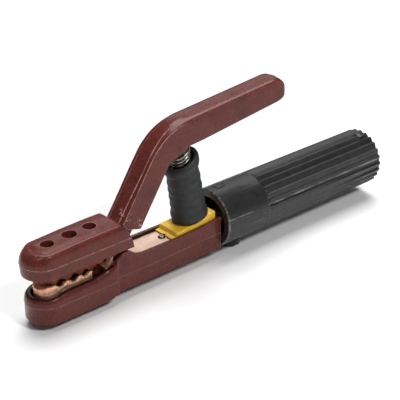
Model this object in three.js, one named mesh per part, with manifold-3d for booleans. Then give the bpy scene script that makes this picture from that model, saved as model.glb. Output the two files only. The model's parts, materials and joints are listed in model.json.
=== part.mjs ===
// Spring-closed electrode holder for stick welding, as an assembly of separate solids.
//
// Millimetres, +X towards the cable end, +Z up.  Every piece is drawn about the handle's own
// axis, with X = 0 just inside the handle's front rim, and the whole group is then lifted so
// that the origin lies under the middle of the holder, on the surface that it stands on.

import * as THREE from 'three';
import { mergeVertices } from 'three/addons/utils/BufferGeometryUtils.js';
import Module from 'manifold-3d';

const wasm = await Module();
wasm.setup();

// ---------------------------------------------------------------- driving dimensions

const GAP = 0.3; // clearance kept between neighbouring pieces
const ROUND = 28; // facets on a full-size round

const overallLength = 255;
const handleRearX = 123.3;
const noseX = handleRearX - overallLength;
const axisHeight = 22; // handle axis above the surface that the holder stands on

// handle grip
const gripFrontX = -3.7;
const gripR = 17.5;
const gripBoreR = 12.9;
const collarRearX = 27.8;
const ribCount = 24;
const ribDepth = 1.3;
const ribTipAngle = 12; // degrees from +Y to a rib tip, seen along the axis
const ribRise = 0.3; // share of the pitch taken by the steep flank

// lower body, a channel with a round-nosed head
const bodyHalf = 10.1;
const bodyInner = 8.1;
const bodyRearX = gripFrontX - GAP;
const bodyFrontX = -77.5;
const bodyBottomZ = -15.8;
const wallTopFrontZ = 2.5;
const wallTopRearZ = 4.2;
const floorZ = -11.5;
const headHalf = 12;
const headCentreX = -118.1;
const headBottomZ = -17.9;
const headRimZ = -3;
const headPocketR = 8.5;

// hinge
const pivotX = -72;
const pivotZ = 2.2;
const pinR = 2.5;
const tongueR = 5.8;
const tongueHalf = 4.3;
const lugR = 5.1;
const humpR = 5.3;

// lower conductor
const conductorHalf = 7.7;
const conductorTopZ = 0.5;
const conductorBottomZ = floorZ + GAP;
const jawHalf = 7;
const lowerToothTipZ = 2.4;
const lowerToothRootZ = 0.3;
const toothTipXs = [-117, -108.7, -100.4, -93.6];
const toothRootXs = [-113.4, -104.4, -97.2];
const tangRearX = 17.7;
const tangBottomZ = -9.7;
const spigotR = 6.6;
const spigotRearX = 29;

// cable socket inside the handle
const socketR = 12.5;
const socketBoreR = 6.9;
const socketFrontX = tangRearX + GAP;
const socketRearX = 63;
const clampScrewXs = { cable_clamp_screw_front: 42, cable_clamp_screw_rear: 54 };
const clampScrewR = 4;
const shellOuterR = 6.5;
const shellInnerR = 5.3;

// grip screw with a broad insulated head
const gripScrewX = 12.2;
const gripScrewHeadR = 6.15;
const gripScrewR = 2.5;

// spring seat, spring and rubber boot
const seatFrontX = -36.4;
const seatEdgeX = -33.8;
const seatRearX = -6;
const seatFrontTopZ = 4.3;
const seatRearTopZ = 8.3;
const seatHalf = 7.8;
const springFoot = { x: -18.6, z: 6.8 };
const springLean = THREE.MathUtils.degToRad(-9.5);
const springOuterR = 6.2;
const springInnerR = 4.6;
const springLength = 43.6;
const bootInnerR = 7;
const bootRadii = [10.5, 9.95, 9.5]; // bottom bead, middle, top bead
const bootLength = 36.5;

// lever: side outline of the moulded cover, hollow for the arm of the upper jaw
const leverHalf = 7.1;
const leverEdge = 1.2; // rounding along the lever's long edges
const armHalf = tongueHalf;
const leverTipX = 48.7;
const leverTopZ = 75.1;
const cupSeat = { x: -26.8, z: 52.7 }; // middle of the spring cup's flat back
const cupLean = -20; // degrees
const cupR = 5.9;

// upper jaw and its cover
const coverHalf = 12.03;
const coverCentreX = noseX + coverHalf;
const coverBottomZ = 9.2;
const coverPartingZ = 16;
const coverShoulderZ = 23.8;
const coverShoulderHalf = 9;
const coverTopZ = 25.3; // crown, at the middle of the rear
const coverTopFrontZ = 24.2;
const coverRearTopX = -75;
const coverRearX = -67.6;
const jawCentreX = -118;
const upperToothTipZ = 3;
const upperToothRootZ = 5;
const castingTopZ = 13;
const coverScrews = [
  { name: 'jaw_cover_screw_front', x: -116, holeR: 3.6 },
  { name: 'jaw_cover_screw_middle', x: -101.8, holeR: 4.05 },
  { name: 'jaw_cover_screw_rear', x: -88.6, holeR: 3.65 },
];
const coverScrewSeatZ = 15.6;
const screwShankR = 2;
const lowerScrewXs = { lower_cover_screw_front: -111, lower_cover_screw_rear: -22 };
const lowerScrewHeadR = 3.6;

// ---------------------------------------------------------------- solids and materials

function toSolid(geometry) {
  geometry.deleteAttribute('normal');
  geometry.deleteAttribute('uv');
  const merged = mergeVertices(geometry, 1e-4);
  return new wasm.Manifold(new wasm.Mesh({
    numProp: 3,
    vertProperties: new Float32Array(merged.attributes.position.array),
    triVerts: new Uint32Array(merged.index.array),
  }));
}

function toGeometry(solid) {
  const mesh = solid.getMesh();
  const geometry = new THREE.BufferGeometry();
  geometry.setAttribute('position', new THREE.BufferAttribute(mesh.vertProperties, 3));
  geometry.setIndex(new THREE.BufferAttribute(mesh.triVerts, 1));
  geometry.computeVertexNormals();
  return geometry;
}

const join = (first, ...rest) => rest.reduce((solid, other) => solid.add(other), first);
const cut = (first, ...rest) => rest.reduce((solid, other) => solid.subtract(other), first);
const meet = (first, ...rest) => rest.reduce((solid, other) => solid.intersect(other), first);

// A side outline, drawn as (x, z), given the same thickness each side of the middle plane.
function sidePlate(shape, half, edge = 0) {
  const geometry = new THREE.ExtrudeGeometry(shape, {
    depth: 2 * (half - edge),
    bevelEnabled: edge > 0,
    bevelThickness: edge,
    bevelSize: edge,
    bevelOffset: -edge,
    bevelSegments: 3,
    curveSegments: 8,
  });
  geometry.rotateX(Math.PI / 2);
  geometry.translate(0, half - edge, 0);
  return toSolid(geometry);
}

// A plan outline, drawn as (x, y), raised from one height to another.
function planPlate(shape, lowZ, highZ) {
  const geometry = new THREE.ExtrudeGeometry(shape, {
    depth: highZ - lowZ, bevelEnabled: false, curveSegments: 14,
  });
  geometry.translate(0, 0, lowZ);
  return toSolid(geometry);
}

// A cross-section, drawn as (y, z), run along the handle's axis.
function sectionBar(shape, frontX, rearX) {
  const geometry = new THREE.ExtrudeGeometry(shape, {
    depth: rearX - frontX, bevelEnabled: false, curveSegments: 10,
  });
  geometry.rotateX(Math.PI / 2);
  geometry.rotateZ(Math.PI / 2);
  geometry.translate(frontX, 0, 0);
  return toSolid(geometry);
}

function box(x0, x1, y0, y1, z0, z1) {
  const geometry = new THREE.BoxGeometry(x1 - x0, y1 - y0, z1 - z0);
  geometry.translate((x0 + x1) / 2, (y0 + y1) / 2, (z0 + z1) / 2);
  return toSolid(geometry);
}

function rodX(r, x0, x1, y = 0, z = 0) {
  const geometry = new THREE.CylinderGeometry(r, r, x1 - x0, ROUND);
  geometry.rotateZ(Math.PI / 2);
  geometry.translate((x0 + x1) / 2, y, z);
  return toSolid(geometry);
}

function rodY(r, half, x, z) {
  const geometry = new THREE.CylinderGeometry(r, r, 2 * half, ROUND);
  geometry.translate(x, 0, z);
  return toSolid(geometry);
}

function rodZ(r, x, z0, z1) {
  const geometry = new THREE.CylinderGeometry(r, r, z1 - z0, ROUND);
  geometry.rotateX(Math.PI / 2);
  geometry.translate(x, 0, (z0 + z1) / 2);
  return toSolid(geometry);
}

function polygon(points) {
  return new THREE.Shape(points.map(([a, b]) => new THREE.Vector2(a, b)));
}

// Plan of a bar with a round nose at the jaw end.
function noseShape(centreX, half, rearX) {
  const shape = new THREE.Shape();
  shape.moveTo(rearX, -half);
  shape.lineTo(centreX, -half);
  shape.absarc(centreX, 0, half, -Math.PI / 2, Math.PI / 2, true);
  shape.lineTo(rearX, half);
  return shape;
}

const brownPhenolic = () => new THREE.MeshStandardMaterial({
  color: 0x5e2a26, roughness: 0.38, metalness: 0,
});
const blackPlastic = () => new THREE.MeshStandardMaterial({
  color: 0x2f3030, roughness: 0.55, metalness: 0,
});
const blackRubber = () => new THREE.MeshStandardMaterial({
  color: 0x262829, roughness: 0.8, metalness: 0,
});
const yellowPlate = () => new THREE.MeshStandardMaterial({
  color: 0xdcae22, roughness: 0.45, metalness: 0,
});
const copper = () => new THREE.MeshStandardMaterial({
  color: 0xd9956e, roughness: 0.35, metalness: 1,
});
const brass = () => new THREE.MeshStandardMaterial({
  color: 0xc9a24b, roughness: 0.35, metalness: 1,
});
const steel = () => new THREE.MeshStandardMaterial({
  color: 0xa8a8a6, roughness: 0.3, metalness: 1,
});

// ---------------------------------------------------------------- lower body

function lowerBodyCover() {
  const side = new THREE.Shape();
  side.moveTo(noseX, headBottomZ);
  side.lineTo(-84, headBottomZ);
  side.quadraticCurveTo(-80, headBottomZ, bodyFrontX, bodyBottomZ);
  side.lineTo(bodyRearX, bodyBottomZ);
  side.lineTo(bodyRearX, wallTopRearZ);
  side.lineTo(-61, wallTopFrontZ);
  side.quadraticCurveTo(-65, wallTopFrontZ, pivotX + 0.82 * humpR, pivotZ + 0.57 * humpR);
  side.absarc(pivotX, pivotZ, humpR, 0.61, 2.5, false);
  side.quadraticCurveTo(-80, headRimZ, -87, headRimZ);
  side.lineTo(noseX, headRimZ);

  const plan = new THREE.Shape();
  plan.moveTo(bodyRearX, -bodyHalf);
  plan.lineTo(bodyFrontX, -bodyHalf);
  plan.lineTo(bodyFrontX - 2.5, -headHalf);
  plan.lineTo(headCentreX, -headHalf);
  plan.absarc(headCentreX, 0, headHalf, -Math.PI / 2, Math.PI / 2, true);
  plan.lineTo(bodyFrontX - 2.5, headHalf);
  plan.lineTo(bodyFrontX, bodyHalf);
  plan.lineTo(bodyRearX, bodyHalf);

  const outside = meet(sidePlate(side, headHalf), planPlate(plan, headBottomZ, 12));
  const jawPocket = planPlate(noseShape(headCentreX, headPocketR, -84), floorZ, 12);
  const channel = box(-84.5, bodyRearX + 1, -bodyInner, bodyInner, floorZ, 12);
  const screwHoles = Object.values(lowerScrewXs).map((x) => {
    const bottomZ = x < bodyFrontX ? headBottomZ : bodyBottomZ;
    return join(
      rodZ(lowerScrewHeadR + GAP, x, bottomZ - 1, bottomZ + 2),
      rodZ(screwShankR + GAP, x, bottomZ, floorZ + 1),
    );
  });
  return cut(outside, jawPocket, channel, ...screwHoles);
}

function lowerConductor() {
  const teeth = [[-127, lowerToothRootZ], [-121.5, lowerToothTipZ]];
  toothTipXs.forEach((tipX, i) => {
    teeth.push([tipX - 0.7, lowerToothTipZ], [tipX + 0.7, lowerToothTipZ]);
    if (i < toothRootXs.length) {
      teeth.push([toothRootXs[i] - 0.8, lowerToothRootZ], [toothRootXs[i] + 0.8, lowerToothRootZ]);
    }
  });
  teeth.push([-90.5, lowerToothRootZ], [-82, lowerToothRootZ]);
  const jawSide = polygon([...teeth, [-82, conductorBottomZ], [-127, conductorBottomZ]]);
  const jaw = meet(
    sidePlate(jawSide, jawHalf),
    planPlate(noseShape(headCentreX, jawHalf, -82), conductorBottomZ, 8),
  );

  const lugSide = new THREE.Shape();
  lugSide.moveTo(-83.5, conductorBottomZ);
  lugSide.lineTo(bodyRearX, conductorBottomZ);
  lugSide.lineTo(bodyRearX, conductorTopZ);
  lugSide.lineTo(pivotX + 0.94 * lugR, conductorTopZ);
  lugSide.absarc(pivotX, pivotZ, lugR, -0.34, 1.9, false);
  lugSide.lineTo(-79.8, pivotZ + 0.9 * lugR);
  lugSide.lineTo(-83.5, lowerToothRootZ);
  const shank = sidePlate(lugSide, conductorHalf);

  const tang = box(bodyRearX - 1, tangRearX, -conductorHalf, conductorHalf, tangBottomZ,
    conductorTopZ);
  const spigot = rodX(spigotR, tangRearX - 4, spigotRearX);

  const slotHalf = tongueHalf + GAP;
  const slot = join(
    box(pivotX - 6.4, pivotX + 7.1, -slotHalf, slotHalf, pivotZ - tongueR - GAP, 12),
    box(-86, pivotX, -slotHalf, slotHalf, pivotZ, 12),
  );
  const coredOut = box(-58, -30, -5, 5, conductorBottomZ - 1, -3.5);
  const pinBore = rodY(pinR + GAP, 12, pivotX, pivotZ);
  const gripScrewHole = rodZ(gripScrewR + GAP, gripScrewX, tangBottomZ - 1, -1.5);
  const stopPinHole = rodZ(1.8 + GAP, -39.4, -2.3, 2);
  const coverScrewHoles = Object.values(lowerScrewXs).map(
    (x) => rodZ(screwShankR + GAP, x, conductorBottomZ - 1, -3.7),
  );
  return cut(join(jaw, shank, tang, spigot), slot, coredOut, pinBore, gripScrewHole, stopPinHole,
    ...coverScrewHoles);
}

function lowerCoverScrew(x) {
  const bottomZ = x < bodyFrontX ? headBottomZ : bodyBottomZ;
  const head = rodZ(lowerScrewHeadR, x, bottomZ + 0.3, bottomZ + 2 - GAP);
  const shank = rodZ(screwShankR, x, bottomZ + 1, -4);
  const driveSlot = box(x - 0.5, x + 0.5, -lowerScrewHeadR, lowerScrewHeadR, bottomZ,
    bottomZ + 1);
  return cut(join(head, shank), driveSlot);
}

function springSeatPlate() {
  const side = new THREE.Shape();
  side.moveTo(seatFrontX, conductorTopZ + GAP);
  side.lineTo(seatRearX, conductorTopZ + GAP);
  side.lineTo(seatRearX, seatRearTopZ);
  side.lineTo(seatRearX - 5.5, seatRearTopZ - 0.9);
  side.quadraticCurveTo(seatRearX - 13.5, seatFrontTopZ + 0.3, seatEdgeX, seatFrontTopZ);
  side.lineTo(seatFrontX, 1.6);
  const boss = rodZ(3.9, 0, 0, 6);
  const leaning = boss.rotate([0, springLean * 180 / Math.PI, 0])
    .translate([springFoot.x, 0, springFoot.z - 1]);
  return join(sidePlate(side, seatHalf), leaning);
}

// ---------------------------------------------------------------- inside the handle

function handleGrip() {
  const pitch = (2 * Math.PI) / ribCount;
  const start = THREE.MathUtils.degToRad(ribTipAngle);
  const ribs = [];
  for (let i = 0; i < ribCount; i += 1) {
    const tip = start + i * pitch;
    const root = tip + (1 - ribRise) * pitch;
    ribs.push([gripR * Math.cos(tip), gripR * Math.sin(tip)]);
    ribs.push([(gripR - ribDepth) * Math.cos(root), (gripR - ribDepth) * Math.sin(root)]);
  }
  const outside = join(
    rodX(gripR, gripFrontX, collarRearX),
    sectionBar(polygon(ribs), collarRearX - 1, handleRearX),
  );
  const bore = rodX(gripBoreR, gripFrontX - 1, handleRearX + 1);
  const screwHole = rodZ(gripScrewR + 2 * GAP, gripScrewX, -gripR - 1, -8);
  const screwFlat = rodZ(gripScrewHeadR + GAP, gripScrewX, -gripR - 1, -gripR + 0.6);
  return cut(outside, bore, screwHole, screwFlat);
}

function gripScrew() {
  const head = rodZ(gripScrewHeadR, gripScrewX, -axisHeight, -gripR + 0.3);
  const shank = rodZ(gripScrewR, gripScrewX, -axisHeight + 1, -2);
  return join(head, shank);
}

function cableSocket() {
  const screwHoles = Object.values(clampScrewXs).map(
    (x) => rodZ(clampScrewR + GAP, x, 2, socketR + 2),
  );
  return cut(
    rodX(socketR, socketFrontX, socketRearX),
    rodX(socketBoreR, socketFrontX - 1, socketRearX + 1),
    ...screwHoles,
  );
}

function cableClampShell() {
  const ring = cut(rodX(shellOuterR, 36, 60), rodX(shellInnerR, 35, 61));
  return cut(ring, box(35, 61, -8, 8, -8, 2.4));
}

function cableClampScrew(x) {
  const topZ = socketR - 0.5;
  const hexSocket = new THREE.CylinderGeometry(2.3, 2.3, 3, 6);
  hexSocket.rotateX(Math.PI / 2);
  hexSocket.translate(x, 0, topZ);
  return cut(rodZ(clampScrewR, x, shellOuterR + GAP, topZ), toSolid(hexSocket));
}

// ---------------------------------------------------------------- spring and boot

// A ring profile turned about the spring's leaning axis.
function springRing(profile) {
  const geometry = new THREE.LatheGeometry(
    profile.map(([r, h]) => new THREE.Vector2(r, h)), ROUND,
  );
  geometry.rotateX(Math.PI / 2);
  geometry.rotateY(springLean);
  geometry.translate(springFoot.x, 0, springFoot.z);
  return toSolid(geometry);
}

function springSleeve() {
  const foot = 1.3;
  return springRing([
    [springInnerR, foot],
    [springOuterR, foot],
    [springOuterR, springLength],
    [springInnerR, springLength],
    [springInnerR, foot],
  ]);
}

function springBoot() {
  const [beadLow, middle, beadHigh] = bootRadii;
  const foot = 0.4;
  return springRing([
    [bootInnerR, foot],
    [beadLow - 0.8, foot],
    [beadLow, foot + 2.5],
    [middle, foot + 6],
    [beadHigh - 0.5, bootLength - 6],
    [beadHigh, bootLength - 2],
    [beadHigh - 0.8, bootLength],
    [bootInnerR, bootLength],
    [bootInnerR, foot],
  ]);
}

// ---------------------------------------------------------------- lever and upper jaw

function leverOutline() {
  const shape = new THREE.Shape();
  shape.moveTo(-59, 15.2);
  shape.lineTo(-42.6, 40.6);
  shape.quadraticCurveTo(-37.9, 48.4, -34.4, 49.2);
  shape.lineTo(-26.7, 51.3);
  shape.quadraticCurveTo(-25.3, 51.8, -25, 53.8);
  shape.lineTo(-13, 54.8);
  shape.lineTo(leverTipX - 7.7, 61.3);
  shape.quadraticCurveTo(leverTipX - 1.1, 62.2, leverTipX, 66.4);
  shape.lineTo(leverTipX, 69);
  shape.quadraticCurveTo(leverTipX - 2, 75.6, leverTipX - 8.2, leverTopZ);
  shape.lineTo(-24.5, 69.7);
  shape.quadraticCurveTo(-37.3, 68, -45.1, 60.5);
  shape.quadraticCurveTo(-48.5, 57.5, -51.5, 52.8);
  shape.lineTo(-70.9, 24.6);
  shape.lineTo(-68.9, 20);
  shape.lineTo(-67.8, 17.9);
  return shape;
}

// The arm's outline inside the lever, grown by a margin where it is cut out of the cover.
function armOutline(margin) {
  const m = margin;
  const shape = new THREE.Shape();
  shape.moveTo(-64.8 + m, 12.5 - m);
  shape.lineTo(-62.9 + m, 15.1 - m);
  shape.lineTo(-45.6 + m, 41.9 - m);
  shape.quadraticCurveTo(-38.6 + m, 53.3 - m, -25.1 + m, 57.9 - m);
  shape.lineTo(31 + m, 63.5 - m);
  shape.lineTo(31 + m, 69.4 + m);
  shape.lineTo(-24 - m, 64.3 + m);
  shape.quadraticCurveTo(-39.1 - m, 61.9 + m, -48.6 - m, 50.9 + m);
  shape.lineTo(-67.6 - m, 22 + m);
  shape.lineTo(-69.2 - m, 12.5 - m);
  return shape;
}

function upperJawCasting() {
  const teeth = [[-127, upperToothRootZ]];
  toothTipXs.forEach((tipX) => {
    teeth.push([tipX - 3, upperToothRootZ], [tipX - 1, upperToothTipZ]);
    teeth.push([tipX + 1, upperToothTipZ], [tipX + 3, upperToothRootZ]);
  });
  const jawSide = polygon([
    ...teeth, [-85, upperToothRootZ], [-82.5, 9.4], [-74, 9.4], [-74, castingTopZ],
    [-127, castingTopZ],
  ]);
  const jaw = meet(
    sidePlate(jawSide, jawHalf),
    planPlate(noseShape(jawCentreX, jawHalf, -74), 0, castingTopZ),
  );
  const neck = polygon([
    [-84, 9.2], [pivotX - 4.6, pivotZ + 3.5], [pivotX + 5.2, pivotZ + 2], [-63.8, 15],
    [-66, 19], [-68.8, 15.6], [-69.2, castingTopZ], [-84, castingTopZ],
  ]);
  const body = join(
    jaw,
    sidePlate(neck, tongueHalf),
    rodY(tongueR, tongueHalf, pivotX, pivotZ),
    sidePlate(armOutline(0), armHalf),
  );
  const pinBore = rodY(pinR + GAP, 12, pivotX, pivotZ);
  const screwHoles = coverScrews.map(
    ({ x }) => rodZ(screwShankR + GAP, x, 7.2, castingTopZ + 1),
  );
  return cut(body, pinBore, ...screwHoles);
}

function upperJawCover() {
  const rearCornerX = coverRearX - 1.6;
  const plan = new THREE.Shape();
  plan.moveTo(rearCornerX, -coverHalf);
  plan.lineTo(coverCentreX, -coverHalf);
  plan.absarc(coverCentreX, 0, coverHalf, -Math.PI / 2, Math.PI / 2, true);
  plan.lineTo(rearCornerX, coverHalf);
  plan.quadraticCurveTo(coverRearX + 1.6, 0, rearCornerX, -coverHalf);

  const side = new THREE.Shape();
  side.moveTo(noseX, coverBottomZ);
  side.lineTo(coverRearX - 0.8, coverBottomZ);
  side.lineTo(coverRearX, coverBottomZ + 4);
  side.quadraticCurveTo(coverRearX - 1, coverShoulderZ - 3, coverRearTopX, coverTopZ);
  side.lineTo(-88, coverTopZ);
  side.lineTo(-123, coverTopFrontZ);
  side.quadraticCurveTo(noseX + 0.8, coverShoulderZ - 1, noseX, coverPartingZ);

  const section = new THREE.Shape();
  section.moveTo(-coverHalf, coverBottomZ);
  section.lineTo(coverHalf, coverBottomZ);
  section.lineTo(coverHalf, coverPartingZ);
  section.quadraticCurveTo(coverHalf, coverShoulderZ - 0.8, coverShoulderHalf, coverShoulderZ);
  section.quadraticCurveTo(0, 2 * coverTopZ - coverShoulderZ, -coverShoulderHalf, coverShoulderZ);
  section.quadraticCurveTo(-coverHalf, coverShoulderZ - 0.8, -coverHalf, coverPartingZ);

  const outside = meet(
    planPlate(plan, coverBottomZ, coverTopZ + 1),
    sidePlate(side, coverHalf),
    sectionBar(section, noseX - 1, coverRearX + 2),
  );
  const jawPocket = planPlate(noseShape(jawCentreX, jawHalf + GAP, -73.7), 5, castingTopZ + GAP);
  const neckPassage = box(-84, coverRearX + 3, -tongueHalf - GAP, tongueHalf + GAP, 5,
    castingTopZ + GAP);
  const armPassage = sidePlate(armOutline(GAP), armHalf + GAP);
  const screwHoles = coverScrews.map(({ x, holeR }) => join(
    rodZ(holeR, x, coverScrewSeatZ, coverTopZ + 1),
    rodZ(screwShankR + GAP, x, castingTopZ, coverTopZ),
  ));
  return cut(outside, jawPocket, neckPassage, armPassage, ...screwHoles);
}

function jawCoverScrew({ x, holeR }) {
  const headR = holeR - 0.4;
  const headTopZ = coverScrewSeatZ + GAP + 2.2;
  const head = rodZ(headR, x, coverScrewSeatZ + GAP, headTopZ);
  const shank = rodZ(screwShankR, x, 7.6, coverScrewSeatZ + 1);
  const driveSlot = box(x - 0.5, x + 0.5, -headR, headR, headTopZ - 1, headTopZ + 1);
  return cut(join(head, shank), driveSlot);
}

// A profile of (radius, depth below the cup's back), turned about the cup's leaning axis.
function cupTurned(profile) {
  const geometry = new THREE.LatheGeometry(
    profile.map(([r, depth]) => new THREE.Vector2(r, -depth)).reverse(), ROUND,
  );
  geometry.rotateX(Math.PI / 2);
  geometry.rotateY(THREE.MathUtils.degToRad(cupLean));
  geometry.translate(cupSeat.x, 0, cupSeat.z);
  return toSolid(geometry);
}

// Steel cup that the top coil sits in, let into the boss under the lever's bend.
function springTopCup() {
  return cupTurned([[0, 0], [cupR, 0], [cupR, 1.4], [3.4, 1.4], [2.8, 4.4], [0, 4.4]]);
}

function leverCover() {
  const recessR = cupR + 2 * GAP;
  return cut(
    sidePlate(leverOutline(), leverHalf, leverEdge),
    sidePlate(armOutline(GAP), armHalf + GAP),
    cupTurned([[0, -GAP], [recessR, -GAP], [recessR, 8], [0, 8]]),
  );
}

// ---------------------------------------------------------------- assembly

const holder = new THREE.Group();

function place(name, solid, material) {
  const mesh = new THREE.Mesh(toGeometry(solid), material);
  mesh.name = name;
  holder.add(mesh);
}

place('lower_body_cover', lowerBodyCover(), brownPhenolic());
place('lower_conductor', lowerConductor(), copper());
place('pivot_pin', rodY(pinR, 7.4, pivotX, pivotZ), steel());
place('spring_seat_plate', springSeatPlate(), yellowPlate());
place('seat_stop_pin', rodZ(1.8, -39.4, -2, 1.5), steel());
place('handle_grip', handleGrip(), blackPlastic());
place('grip_screw', gripScrew(), blackPlastic());
place('cable_socket', cableSocket(), brass());
place('cable_clamp_shell', cableClampShell(), copper());
for (const [name, x] of Object.entries(clampScrewXs)) {
  place(name, cableClampScrew(x), steel());
}
for (const [name, x] of Object.entries(lowerScrewXs)) {
  place(name, lowerCoverScrew(x), steel());
}
place('lever_spring', springSleeve(), steel());
place('spring_boot', springBoot(), blackRubber());
place('upper_jaw_casting', upperJawCasting(), copper());
place('upper_jaw_cover', upperJawCover(), brownPhenolic());
for (const screw of coverScrews) {
  place(screw.name, jawCoverScrew(screw), steel());
}
place('lever_cover', leverCover(), brownPhenolic());
place('spring_top_cup', springTopCup(), steel());

holder.position.set(-(noseX + handleRearX) / 2, 0, axisHeight);

export default holder;
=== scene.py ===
"""Looks of a spring-closed electrode holder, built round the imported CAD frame.

Shapes are drawn in millimetres about the handle's axis, with X = 0 just inside the handle's front
rim, -Y on the near side and +Z up, and are then carried into the frame, which is in metres.
"""

import json
import math

import bmesh
import bpy
import numpy as np
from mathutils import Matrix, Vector, noise

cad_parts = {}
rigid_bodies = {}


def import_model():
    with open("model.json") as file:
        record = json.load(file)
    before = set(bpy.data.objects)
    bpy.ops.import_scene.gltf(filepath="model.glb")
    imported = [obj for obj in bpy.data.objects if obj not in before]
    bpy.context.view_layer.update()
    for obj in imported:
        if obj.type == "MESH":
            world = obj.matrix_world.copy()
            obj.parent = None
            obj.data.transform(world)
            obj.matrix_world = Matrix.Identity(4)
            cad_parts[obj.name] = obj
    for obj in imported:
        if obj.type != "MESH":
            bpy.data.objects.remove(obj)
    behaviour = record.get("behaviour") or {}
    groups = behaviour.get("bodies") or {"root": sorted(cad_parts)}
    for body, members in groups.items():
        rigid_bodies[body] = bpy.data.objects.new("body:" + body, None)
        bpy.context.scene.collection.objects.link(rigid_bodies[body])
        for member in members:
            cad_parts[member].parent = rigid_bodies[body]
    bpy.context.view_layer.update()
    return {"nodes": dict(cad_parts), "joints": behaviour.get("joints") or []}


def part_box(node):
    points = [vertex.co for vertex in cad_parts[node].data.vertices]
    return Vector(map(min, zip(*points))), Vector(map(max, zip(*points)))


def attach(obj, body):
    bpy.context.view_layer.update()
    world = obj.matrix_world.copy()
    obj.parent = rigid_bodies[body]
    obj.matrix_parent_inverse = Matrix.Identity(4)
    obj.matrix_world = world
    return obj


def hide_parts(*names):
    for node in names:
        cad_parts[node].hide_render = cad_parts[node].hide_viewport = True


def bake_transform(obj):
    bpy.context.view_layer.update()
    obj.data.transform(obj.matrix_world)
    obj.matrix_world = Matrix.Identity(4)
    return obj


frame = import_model()

MM = 0.001
GRIP_LOW, GRIP_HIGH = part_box("handle_grip")
GRIP_R = (GRIP_HIGH.y - GRIP_LOW.y) / 2 / MM
GRIP_FRONT_X = -3.7
ORIGIN = Vector((GRIP_LOW.x - GRIP_FRONT_X * MM, 0, (GRIP_LOW.z + GRIP_HIGH.z) / 2))
GRIP_REAR_X = (GRIP_HIGH.x - ORIGIN.x) / MM
HINGE = (Vector(frame["joints"][0]["pos_m"]) - ORIGIN) / MM
BODY = frame["joints"][0]["parent"]
LEVER = frame["joints"][0]["child"]


def box_mm(node):
    """A CAD node's lowest and highest corners, in the millimetres that shapes are drawn in."""
    low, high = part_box(node)
    return (low - ORIGIN) / MM, (high - ORIGIN) / MM


def middle_x(node):
    low, high = box_mm(node)
    return (low.x + high.x) / 2


# ------------------------ objects and the camera


def placed(name, data):
    """A new object in the scene."""
    obj = bpy.data.objects.new(name, data)
    bpy.context.scene.collection.objects.link(obj)
    return obj


def aim(obj, direction):
    obj.rotation_mode = "QUATERNION"
    obj.rotation_quaternion = Vector(direction).to_track_quat("-Z", "Y")


CAMERA_PLACE = (-0.4469, -0.5110, 0.3857)
CAMERA_LOOKS_ALONG = (0.5839, 0.6614, -0.4708)
CAMERA_LENS_MM = 120.2
CAMERA_SHIFT = (-0.0355, 0.0395)


def make_camera():
    data = bpy.data.cameras.new("camera")
    camera = placed("camera", data)
    bpy.context.scene.camera = camera
    camera.location = CAMERA_PLACE
    aim(camera, CAMERA_LOOKS_ALONG)
    data.sensor_width = 36
    data.lens = CAMERA_LENS_MM
    data.shift_x, data.shift_y = CAMERA_SHIFT
    data.clip_start = 0.01
    data.clip_end = 20


make_camera()

# ------------------------ node materials


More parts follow.
